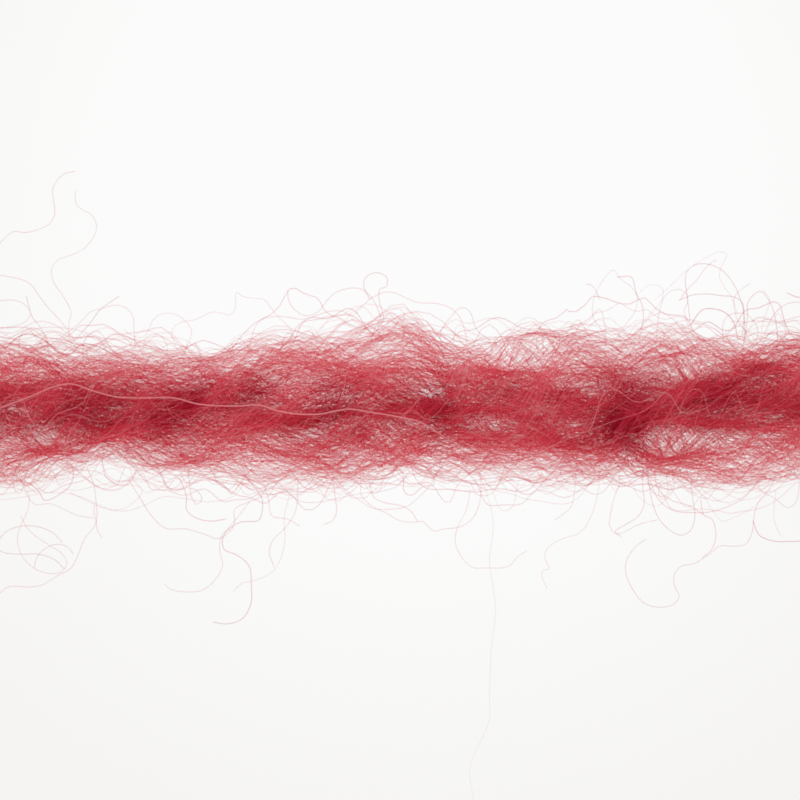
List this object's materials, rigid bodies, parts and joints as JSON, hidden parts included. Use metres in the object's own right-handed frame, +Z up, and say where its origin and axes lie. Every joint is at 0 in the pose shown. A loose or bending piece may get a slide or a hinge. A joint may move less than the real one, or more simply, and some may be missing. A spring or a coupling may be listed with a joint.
{
  "type": "cashmere yarn",
  "caption": "Short straight cut length of loosely plied, brushed cashmere yarn, soft and airy, for knitting, weaving or trimming; it lies flat on a surface.",
  "frame": {"origin": "on the surface it lies on, under the middle of the yarn", "axes": "+X along the yarn, +Z up"},
  "size_m": [0.034, 0.0032, 0.0025],
  "materials": {
    "cashmere": "brushed, dyed crimson",
    "guard_hair": "smooth, pale rose"
  },
  "bodies": {
    "root": {"ply_1": "cashmere", "ply_2": "cashmere", "ply_3": "cashmere"}
  },
  "joints": []
}
